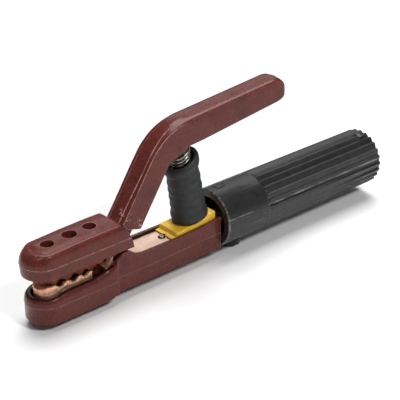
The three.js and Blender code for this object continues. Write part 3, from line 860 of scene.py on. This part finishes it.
def arm_outline(m):
    """The jaw arm's side outline, grown by a margin."""
    points = [(-64.8 + m, 12.0), (-64.8 + m, 12.5 - m), (-62.9 + m, 15.1 - m)]
    points += trace((-45.6 + m, 41.9 - m), ((-38.6 + m, 53.3 - m), (-25.1 + m, 57.9 - m), 9))
    points += [(31 + m, 63.5 - m), (31 + m, 69.4 + m)]
    points += trace((-24 - m, 64.3 + m), ((-39.1 - m, 61.9 + m), (-48.6 - m, 50.9 + m), 9))
    return points + [(-67.6 - m, 22 + m), (-69.2 - m, 12.0)]


def lever_cover():
    fronts = lever_front_edge()
    rears = lever_rear_edge()
    rings = []
    for i, (front, rear) in enumerate(zip(fronts, rears)):
        centre_x = (front[0] + rear[0]) / 2
        up = smoothstep(22, 44, (front[1] + rear[1]) / 2)
        top = smoothstep(-46, -14, centre_x)
        half = LEVER_HALF - rounding(LEVER_TIP_ROUNDING, LEVER_TIP_X - centre_x)
        depth = math.dist(front, rear)
        side = (2.9 - 0.4 * up) * (1 - top) + 4.6 * top
        down = min((1.1 - 0.6 * up) * (1 - top) + 1.9 * top, 0.36 * depth)
        shrink = half / LEVER_HALF
        lower = smoothstep(0, 6, i)
        corner = 0.4 + 0.6 * lower
        rings.append(lever_section(front, rear, half - 0.5 * (1 - lower),
                                   (side * shrink, down), top, corner * shrink))
    cover = lofted("lever_moulding", rings)
    recess = [(0, -GAP), (CUP_R + 2 * GAP, -GAP), (CUP_R + 2 * GAP, 9), (0, 9)]
    cut(cover, slab("passage", arm_outline(GAP), -ARM_HALF - GAP, ARM_HALF + GAP),
        turned("recess", recess, under_lever, 56))
    show(cover, PHENOLIC, LEVER, "lever_cover", crease=24)


lever_cover()

# ------------------------ upper jaw cover

COVER_HALF = 12.03
COVER_CENTRE_X = -119.67
COVER_BACK_X = -76.6
COVER_BOTTOM_Z = 9.2
COVER_PARTING_Z = 16.0
COVER_SHOULDER_Z = 23.8
COVER_SHOULDER_Y = 9.6
JAW_CENTRE_X = -118.0
JAW_REAR_X = -73.7
JAW_HALF = 7.0
CASTING_TOP_Z = 13.0
COVER_REAR_CORNER = 1.0
COVER_REAR_EDGE = 1.3
COVER_SCREWS = {"jaw_cover_screw_front": 3.6, "jaw_cover_screw_middle": 4.05,
                "jaw_cover_screw_rear": 3.65}  # and the radius of the hole over each


def crown_height(x):
    return along([(-131, 24.0), (-124, 24.2), (-116, 24.5), (-102, 25.1), (-88, 25.35),
                  (-68, 25.4)], x)


def cover_profile(shoulder, crown, softness):
    """(outward, z) points from the underside's middle, up the side and over to the top's middle.
    The shoulder is tight along the sides and swells into the dome of the nose."""
    half = COVER_HALF
    points = [(0, COVER_BOTTOM_Z), (half * 0.5, COVER_BOTTOM_Z), (half - 1.2, COVER_BOTTOM_Z)]
    for angle in np.linspace(0, math.pi / 2, 5)[1:]:
        points.append((half - 0.7 - 0.5 * (1 - math.sin(angle)) + 0.35 * math.sin(angle),
                       COVER_BOTTOM_Z + 0.7 * (1 - math.cos(angle))))
    points += [(half - 0.15, COVER_PARTING_Z - 3), (half - 0.03, COVER_PARTING_Z - 0.32),
               (half + 0.20, COVER_PARTING_Z), (half - 0.03, COVER_PARTING_Z + 0.32)]
    edge = crown - 1.0
    bend = [np.array(p) for p in (
        (half - 0.05, COVER_PARTING_Z + 0.7),
        (half - 0.75 + 0.7 * softness, edge - 2.9 + 0.3 * softness),
        (shoulder + 1.2 + 1.0 * softness, edge + 0.05), (shoulder - 0.8, edge),
    )]
    for t in np.linspace(0, 1, 16):
        point = (1 - t) ** 3 * bend[0] + 3 * t * (1 - t) ** 2 * bend[1]
        points.append(tuple(point + 3 * t * t * (1 - t) * bend[2] + t ** 3 * bend[3]))
    for share in (0.75, 0.5, 0.25, 0.0):
        points.append((bend[3][0] * share, edge + (crown - edge) * (1 - share ** 2)))
    return points


def rear_face_x(z):
    return along([(9.2, -66.9), (11.2, -66.8), (13.0, -67.6), (16.6, -69.1), (18.4, -69.9),
                  (21.0, -71.2), (23.5, -73.1), (25.4, -75.0)], z)


def cover_rear_row(profile, depth, spread):
    """A row of the cover's rear end, a depth in front of the rear face.  spread is 1 on the
    outline and less on the rows that close the rear face."""
    round_in = rounding(COVER_REAR_CORNER, depth)
    drop = rounding(COVER_REAR_EDGE, depth)
    row = []
    for out, z in profile:
        y = spread * out * (COVER_HALF - round_in) / COVER_HALF
        bow = 0.5 * (y / COVER_HALF) ** 2 * (1 - smoothstep(0, COVER_REAR_CORNER, depth))
        height = z - drop * smoothstep(COVER_PARTING_Z, COVER_SHOULDER_Z, z)
        row.append((rear_face_x(height) - depth - bow, -y, height))
    return row


def upper_jaw_cover():
    back = cover_profile(COVER_SHOULDER_Y, crown_height(COVER_BACK_X), 0.0)
    rows = [cover_rear_row(back, 0.0, spread) for spread in (0.0, 0.35, 0.7)]
    rows += [cover_rear_row(back, depth, 1.0)
             for depth in (0.0, 0.05, 0.15, 0.32, 0.55, 0.8, COVER_REAR_CORNER)]
    for share in np.linspace(0, 1, 26)[1:]:
        row = []
        crown = crown_height(COVER_BACK_X + share * (COVER_CENTRE_X - COVER_BACK_X))
        for y, z in cover_profile(COVER_SHOULDER_Y, crown, 0.0):
            start = rear_face_x(z) - COVER_REAR_CORNER
            row.append((start + (COVER_CENTRE_X - start) * share, -y, z))
        rows.append(row)
    for angle in np.linspace(0, math.pi / 2, 25)[1:]:
        bow = math.sin(angle)
        swell = smoothstep(0.1, 1.0, bow)
        profile = cover_profile(
            COVER_SHOULDER_Y - 3.2 * swell, crown_height(COVER_CENTRE_X), swell)
        rows.append([(COVER_CENTRE_X - out * bow, -out * math.cos(angle), z)
                     for out, z in profile])
    cover = mirrored("upper_cover_moulding", rows)

    pocket_half = JAW_HALF + GAP
    plan = [(JAW_REAR_X, -pocket_half), (JAW_CENTRE_X, -pocket_half)]
    plan += arc((JAW_CENTRE_X, 0), pocket_half, 270, 90, 28)[1:-1]
    plan += [(JAW_CENTRE_X, pocket_half), (JAW_REAR_X, pocket_half)]
    top = CASTING_TOP_Z + GAP
    cutters = [lofted("pocket", [[(x, y, z) for x, y in plan] for z in (5, top)])]
    neck_half = ARM_HALF + GAP
    cutters.append(block("neck", -84, -60, -neck_half, neck_half, 4, top - 0.03))
    cutters.append(slab("passage", arm_outline(GAP), -neck_half - 0.03, neck_half + 0.03))
    for node, hole_r in COVER_SCREWS.items():
        x = middle_x(node)
        surface = crown_height(x)
        profile = [(0, 12), (2.3, 12), (2.3, 15.6), (hole_r - 0.12, 15.6)]
        profile += [(hole_r, surface - 0.55), (hole_r + 0.12, surface - 0.25)]
        profile += [(hole_r + 0.5, surface + 0.15), (hole_r + 0.5, 28), (0, 28)]
        cutters.append(turned("hole", profile, upright(x), 56))
    cut(cover, *cutters)
    show(cover, PHENOLIC, LEVER, "upper_jaw_cover", crease=28)


def slotted_screw(node, body, head_down):
    """A cheese-headed screw with a driving slot, where its CAD node is."""
    low, high = box_mm(node)
    x = middle_x(node)
    head_r = (high.y - low.y) / 2
    length = high.z - low.z
    head = 1.4 if head_down else 2.2
    profile = [(0, 0), (head_r - 0.35, 0), (head_r - 0.1, 0.1), (head_r, 0.35)]
    profile += [(head_r, head), (2, head), (2, length - 0.5), (1.5, length), (0, length)]
    if head_down:
        place, slot = upright(x, low.z), (low.z - 1, low.z + 0.8)
    else:
        place, slot = upright(x, high.z, up=-1), (high.z - 0.9, high.z + 1)
    screw = turned(node + "_turned", profile, place, 56)
    cut(screw, block("slot", x - 0.5, x + 0.5, -head_r - 1, head_r + 1, *slot))
    show(screw, STEEL, body, node)


upper_jaw_cover()
for screw_node in COVER_SCREWS:
    slotted_screw(screw_node, LEVER, head_down=False)
for screw_node in ("lower_cover_screw_front", "lower_cover_screw_rear"):
    slotted_screw(screw_node, BODY, head_down=True)

# ------------------------ copper castings

APART = Vector((7.3, 2.1, 5.7))  # keeps the layers of noise from repeating each other
BAR_FRONT_X = -79.5
# TEETH_X, TEETH_REAR_X and TEETH_HALF bound the painted shade between and behind the lower teeth.
TEETH_X = (-117, -84)
TEETH_REAR_X = -93
TEETH_HALF = 5.4


def as_cast(node, name, grain_mm, lumpy):
    """A copy of a CAD node's casting, with rounded edges and the uneven skin of sand-cast copper.
    lumpy(point) is how much of the unevenness a point gets."""
    obj = placed(name, frame["nodes"][node].data.copy())
    obj.data.materials.clear()
    modify(obj, "REMESH", mode="VOXEL", voxel_size=grain_mm * MM, use_smooth_shade=True)
    modify(obj, "SMOOTH", factor=0.5, iterations=3)
    moves = []
    for vertex in obj.data.vertices:
        point = (vertex.co - ORIGIN) / MM
        size = noise.noise(point * 0.42) * 0.30 + noise.noise(point * 1.15 + APART) * 0.14
        size += noise.noise(point * 2.3 - APART) * 0.14
        moves.append(vertex.normal * (size * lumpy(point) * MM))
    for vertex, move in zip(obj.data.vertices, moves):
        vertex.co += move
    return obj


def lower_conductor():
    """Bright where the jaw's nose and the bar's top show; dark copper as painted shade between and
    behind the teeth and on the bar's sides.
    """
    conductor = as_cast("lower_conductor", "conductor_casting", 0.45,
                        lambda p: 1 - 0.94 * smoothstep(-90, -82, p.x))
    show(conductor, JAW_COPPER, BODY, "lower_conductor")
    conductor.data.materials.append(BAR_COPPER)
    conductor.data.materials.append(COPPER_TARNISH_AND_SHADE)
    bar, painted_shade_slot = 1, 2
    for face in conductor.data.polygons:
        x, y = ((face.center - ORIGIN) / MM).xy
        if x > BAR_FRONT_X:
            face.material_index = painted_shade_slot if abs(face.normal.y) > 0.7 else bar
        elif TEETH_X[0] < x < TEETH_X[1] and (abs(y) < TEETH_HALF or x > TEETH_REAR_X):
            face.material_index = painted_shade_slot


def upper_jaw():
    jaw = as_cast("upper_jaw_casting", "jaw_casting", 0.5,
                  lambda p: 1 - 0.9 * smoothstep(-88, -80, p.x))
    # The dark copper here is tarnish and painted shade from the cover above the jaw.
    show(jaw, COPPER_TARNISH_AND_SHADE, LEVER, "upper_jaw_casting")


lower_conductor()
upper_jaw()

# ------------------------ spring, boot and its seat

SPRING_FOOT = (-18.6, 6.8)
SPRING_LEAN = math.radians(-9.5)
BOOT_LENGTH = 36.5
NOTCH_X = -39.3


def on_spring(a, b, h):
    """A point beside the spring's leaning axis."""
    c, s = math.cos(SPRING_LEAN), math.sin(SPRING_LEAN)
    return (SPRING_FOOT[0] + a * c + h * s, b, SPRING_FOOT[1] - a * s + h * c)


def top_tilt(a, h):
    """The upper part leans on towards the jaws: the far side rises and the near side sinks."""
    return (2.2 + 0.30 * a) * smoothstep(15, 36, h)


def spring_seat_plate():
    outline = [(-37.8, 0.85), (-6.0, 0.85), (-6.0, 8.3), (-11.5, 7.4)]
    outline += trace((-11.5, 7.4), ((-19.5, 4.6), (-33.4, 4.35), 12))[1:]
    outline += [(-34.5, 4.25), (-35.2, 1.75), (-37.8, 1.5)]
    plate = soften(slab("seat_plate", outline, -7.8, 7.8), 0.35, 3, 35)
    boss = [(0, -3), (3.9, -3), (3.9, 1.9), (3.4, 2.4), (0, 2.4)]
    fuse(plate, turned("boss", boss, on_spring, 48))
    notch = [(0, 0), (2.3, 0), (2.5, 6), (0, 6)]
    cut(plate, turned("notch", notch, upright(NOTCH_X), 40))
    show(plate, YELLOW, BODY, "spring_seat_plate", crease=30)


def seat_stop_pin():
    low, high = box_mm("seat_stop_pin")
    top = high.z
    profile = [(0, low.z), (1.8, low.z), (1.8, top - 0.55), (1.55, top - 0.2), (1.0, top)]
    profile += [(0.6, top - 0.05), (0.35, top - 0.35), (0, top - 0.4)]
    pin = turned("stake", profile, upright(middle_x("seat_stop_pin")), 40)
    show(pin, DARK_STEEL, BODY, "seat_stop_pin")


def spring_boot():
    inner = 7.0
    outer = [(9.4, 0.4), (10.1, 0.7), (10.55, 1.5), (10.75, 2.7), (10.7, 3.9), (10.45, 5.0)]
    outer += [(10.1, 5.8), (9.85, 6.4), (9.75, 7.0)]
    ridges = 4
    first, last = 7.6, 27.0
    step = (last - first) / ridges
    for i in range(ridges * 8 + 1):
        h = first + step * i / 8
        wave = math.cos(2 * math.pi * i / 8)
        taper = 10.0 - 0.55 * (h - first) / (last - first)
        outer.append((taper - 0.17 * wave, h))
    outer += [(9.2, 28.4), (8.95, 29.2), (8.95, 29.8), (9.4, 30.3), (10.0, 31.0), (10.35, 32.0)]
    outer += [(10.45, 33.3), (10.35, 34.6), (9.95, 35.6), (9.3, 36.3), (8.6, BOOT_LENGTH)]
    inside = [(8.0, BOOT_LENGTH - 0.1), (7.5, BOOT_LENGTH - 0.7), (7.2, BOOT_LENGTH - 2.0)]
    inside += [(inner, h) for h in np.linspace(31, 3, 15)] + [(inner, 1.0), (7.3, 0.4)]
    profile = outer + inside + [outer[0]]
    boot = turned(
        "boot_sleeve", profile, lambda a, b, h: on_spring(a, b, h + top_tilt(a, h)), 88)
    show(boot, RUBBER, None, "spring_boot", crease=45)
    blend_to_lever(boot)


def blend_to_lever(obj):
    """Bakes the piece's placement into its mesh; it stands on the seat plate, its top shaped to
    meet the lever at rest.
    """
    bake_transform(obj)


def lever_spring():
    """Round-wire compression spring with closed ends, its top turn square to the lever's cup."""
    wire_r = 0.86
    mean_r = 5.3
    turns = 11.0
    steps = int(turns * 40)
    low, high = 2.2, 41.4
    rings = []
    centres = []
    for i in range(steps + 1):
        t = i / steps
        turn = turns * t
        coil = along([(0, 0), (1, 1.75), (turns - 3, high - low - 6.6), (turns, high - low)], turn)
        angle = 2 * math.pi * turn + 1.2
        a, b = mean_r * math.cos(angle), mean_r * math.sin(angle)
        centres.append(np.array(on_spring(a, b, low + coil + top_tilt(a, low + coil))))
    for i, centre in enumerate(centres):
        ahead = centres[min(i + 1, steps)] - centres[max(i - 1, 0)]
        ahead /= np.linalg.norm(ahead)
        out = np.cross(ahead, (0.165, 0, -0.986))
        out /= np.linalg.norm(out)
        up = np.cross(ahead, out)
        rings.append([tuple(centre + wire_r * (math.cos(k) * out + math.sin(k) * up))
                      for k in np.linspace(0, 2 * math.pi, 12, endpoint=False)])
    spring = lofted("spring_wire", rings)
    show(spring, SPRING_STEEL, None, "lever_spring", crease=60)
    blend_to_lever(spring)


def spring_top_cup():
    profile = [(0, 0), (5.6, 0), (5.85, 0.15), (5.9, 0.4), (5.9, 1.1), (5.75, 1.4), (3.8, 1.4)]
    profile += [(3.45, 1.6), (3.3, 2.2), (2.85, 4.0), (2.5, 4.4), (0, 4.4)]
    cup = turned("spring_cup_turned", profile, under_lever, 56)
    show(cup, STEEL, LEVER, "spring_top_cup")


spring_seat_plate()
seat_stop_pin()
spring_boot()
lever_spring()
spring_top_cup()

# ------------------------ pieces inside the handle


def cable_socket():
    low, high = box_mm("cable_socket")
    outer_r, bore_r = 12.5, 6.9
    profile = [(bore_r, low.x), (outer_r - 0.5, low.x), (outer_r, low.x + 0.5)]
    profile += [(outer_r, high.x - 0.9), (outer_r - 0.9, high.x), (bore_r + 1.0, high.x)]
    profile += [(bore_r, high.x - 1.0), (bore_r, low.x)]
    socket = turned("socket_turned", profile, along_x, 96)
    hole = [(0, 2), (4.3, 2), (4.3, outer_r + 2), (0, outer_r + 2)]
    cut(socket, *(turned("hole", hole, upright(middle_x(node)), 40)
                  for node in ("cable_clamp_screw_front", "cable_clamp_screw_rear")))
    show(socket, BRASS, BODY, "cable_socket")


cable_socket()

FRAME_FINISH = {
    "pivot_pin": STEEL, "cable_clamp_shell": BAR_COPPER,
    "cable_clamp_screw_front": STEEL, "cable_clamp_screw_rear": STEEL,
}


def finish_frame_nodes():
    """The CAD nodes that nothing replaces keep their shape and get their material."""
    for node, material in FRAME_FINISH.items():
        obj = frame["nodes"][node]
        if not obj.material_slots:
            obj.data.materials.append(None)
        for slot in obj.material_slots:
            slot.link = "OBJECT"
            slot.material = material


finish_frame_nodes()

# ------------------------ floor and light


ROOM_LIGHT = 0.10
BACKDROP = (0.93, 0.93, 0.93, 1)
SUN_STRENGTH = 2.85
SUN_WIDTH = math.radians(42)
SUN_TILT = (math.radians(-14), math.radians(16), 0)


def make_floor():
    mesh = bpy.data.meshes.new("studio_floor")
    size, below = 12.0, -0.2 * MM
    corners = [(x * size, y * size, below) for x, y in ((-1, -1), (1, -1), (1, 1), (-1, 1))]
    mesh.from_pydata(corners, [], [(0, 1, 2, 3)])
    mesh.materials.append(studio_floor())
    placed("studio_floor", mesh)


def area_light(name, location, target, size, power):
    data = bpy.data.lights.new(name, "AREA")
    data.shape = "RECTANGLE"
    data.size, data.size_y = size
    data.energy = power
    light = placed(name, data)
    light.location = location
    aim(light, Vector(target) - Vector(location))


def make_world():
    """A dim room round a pale studio: only the view itself sees the pale backdrop."""
    world = bpy.data.worlds.new("studio")
    world.use_nodes = True
    tree = world.node_tree
    room = tree.nodes["Background"]
    room.inputs["Color"].default_value = (1, 1, 1, 1)
    room.inputs["Strength"].default_value = ROOM_LIGHT
    backdrop = tree.nodes.new("ShaderNodeBackground")
    backdrop.inputs["Color"].default_value = BACKDROP
    mix = tree.nodes.new("ShaderNodeMixShader")
    path = tree.nodes.new("ShaderNodeLightPath")
    tree.links.new(path.outputs["Is Camera Ray"], mix.inputs[0])
    tree.links.new(room.outputs[0], mix.inputs[1])
    tree.links.new(backdrop.outputs[0], mix.inputs[2])
    tree.links.new(mix.outputs[0], tree.nodes["World Output"].inputs["Surface"])
    bpy.context.scene.world = world


def make_light():
    make_world()
    sun_data = bpy.data.lights.new("ceiling", "SUN")
    sun_data.energy = SUN_STRENGTH
    sun_data.angle = SUN_WIDTH
    placed("ceiling", sun_data).rotation_euler = SUN_TILT
    area_light("window", (0.01, -0.74, 0.85), (-0.1, 0, 0.02), (0.20, 0.20), 5.6)
    area_light("lamp", (-0.60, -0.09, 1.02), (-0.1, 0, 0.03), (0.10, 0.10), 0.9)
    area_light("backdrop", (0.86, 1.06, 0.84), (-0.05, 0, 0.04), (1.0, 0.6), 2.0)
    bpy.context.scene.view_settings.view_transform = "Standard"


make_floor()
make_light()
